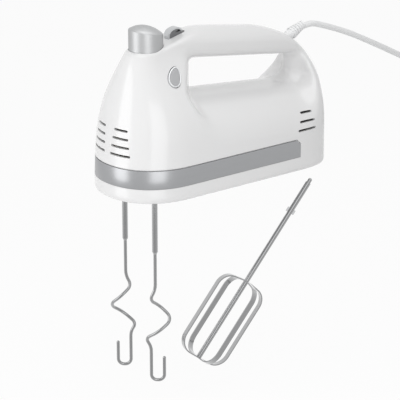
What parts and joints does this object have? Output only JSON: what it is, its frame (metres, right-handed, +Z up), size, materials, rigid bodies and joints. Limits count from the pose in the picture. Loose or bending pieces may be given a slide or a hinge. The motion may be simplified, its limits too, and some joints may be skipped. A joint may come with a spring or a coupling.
{
  "type": "hand mixer",
  "caption": "Corded hand mixer with a closed loop handle, press-down eject button, speed slider, fitted dough hooks, a loose wire beater and a coiled mains lead.",
  "frame": {"origin": "centre of the handle grip, on the mid-plane", "axes": "+X from the nose to the heel, +Y to the right-hand side, +Z up; the base is level"},
  "size_m": [0.4003, 0.1069, 0.2893],
  "materials": {
    "white_shell": "glossy",
    "trim": "satin metallic",
    "silver": "brushed",
    "chrome": "polished",
    "dark_control": "satin",
    "grey_control": "satin",
    "white_cord": "satin",
    "tool_steel": "polished",
    "inner_plastic": "satin",
    "gear_plastic": "satin",
    "steel": "bright",
    "laminations": "dark",
    "copper": "enamelled wire",
    "bronze": "sintered",
    "carbon": "matte",
    "wire": "satin",
    "black_plastic": "satin",
    "yellow_film": "glossy"
  },
  "bodies": {
    "housing": {"left_housing": "white_shell", "right_housing": "white_shell", "trim_band": "trim", "housing_screws": "steel", "gearbox_base": "inner_plastic", "gearbox_cover": "inner_plastic", "gearbox_screws": "steel", "lower_bushes": "bronze", "upper_bushes": "bronze", "stator_core": "laminations", "field_coils": "copper", "rear_bracket": "inner_plastic", "motor_bolts": "steel", "front_bush": "bronze", "middle_bearing": "bronze", "rear_bearing": "bronze", "brush_holders": "bronze", "carbon_brushes": "carbon", "brush_springs": "steel", "eject_spring": "steel", "speed_switch": "black_plastic", "turbo_switch": "black_plastic", "power_cord": "white_cord", "cord_coil": "white_cord", "cord_tail": "white_cord", "cord_tie": "white_shell", "plug_body": "white_shell", "plug_pins": "steel", "strain_relief": "white_cord", "cord_clamp": "inner_plastic", "clamp_screws": "steel", "suppression_capacitor": "yellow_film", "terminal_block": "inner_plastic", "motor_leads": "wire", "handle_wires": "wire"},
    "armature": {"worm_shaft": "steel", "armature_core": "laminations", "armature_winding": "copper", "commutator": "copper", "cooling_fan": "inner_plastic"},
    "spindle_l": {"spindle_left": "steel", "worm_gear_left": "gear_plastic", "spindle_clip_left": "steel"},
    "spindle_r": {"spindle_right": "steel", "worm_gear_right": "gear_plastic", "spindle_clip_right": "steel"},
    "hook_l": {"dough_hook_left": "tool_steel"},
    "hook_r": {"dough_hook_right": "tool_steel"},
    "ejector": {"eject_button": "silver", "eject_plunger": "inner_plastic"},
    "slider": {"speed_slider": "dark_control", "slider_rim": "chrome"},
    "turbo": {"turbo_button": "grey_control"},
    "loose_beater": {"beater_shaft": "tool_steel", "beater_loops": "tool_steel"}
  },
  "joints": [
    {"name": "armature_spin", "type": "hinge", "parent": "housing", "child": "armature", "pos_m": [-0.022, 0, -0.073], "axis": [1, 0, 0], "continuous": true},
    {"name": "spindle_left_spin", "type": "hinge", "parent": "housing", "child": "spindle_l", "pos_m": [-0.09, -0.02, -0.073], "axis": [0, 0, 1], "continuous": true},
    {"name": "spindle_right_spin", "type": "hinge", "parent": "housing", "child": "spindle_r", "pos_m": [-0.09, 0.02, -0.073], "axis": [0, 0, 1], "continuous": true},
    {"name": "eject_press", "type": "slide", "parent": "housing", "child": "ejector", "axis": [0, 0, -1], "range_m": [0, 0.008], "stiffness_N_per_m": 900, "springref_m": -0.006, "deforming": ["eject_spring"]},
    {"name": "hook_left_drop", "type": "slide", "parent": "spindle_l", "child": "hook_l", "axis": [0, 0, -1], "range_m": [0, 0.008]},
    {"name": "hook_right_drop", "type": "slide", "parent": "spindle_r", "child": "hook_r", "axis": [0, 0, -1], "range_m": [0, 0.008]},
    {"name": "speed_slide", "type": "slide", "parent": "housing", "child": "slider", "axis": [0.9724, 0, 0.2334], "range_m": [0, 0.008]},
    {"name": "turbo_press", "type": "slide", "parent": "housing", "child": "turbo", "axis": [0, 0.829, -0.5592], "range_m": [0, 0.0015], "stiffness_N_per_m": 1200, "springref_m": -0.001},
    {"name": "beater_lift", "type": "slide", "parent": "housing", "child": "loose_beater", "axis": [0.5932, -0.105, 0.7982], "range_m": [0, 0.05]}
  ],
  "couplings": [
    {"joint": "spindle_left_spin", "follows": "armature_spin", "ratio": 0.03125},
    {"joint": "spindle_right_spin", "follows": "armature_spin", "ratio": -0.03125},
    {"joint": "hook_left_drop", "follows": "eject_press", "ratio": 1},
    {"joint": "hook_right_drop", "follows": "eject_press", "ratio": 1}
  ]
}
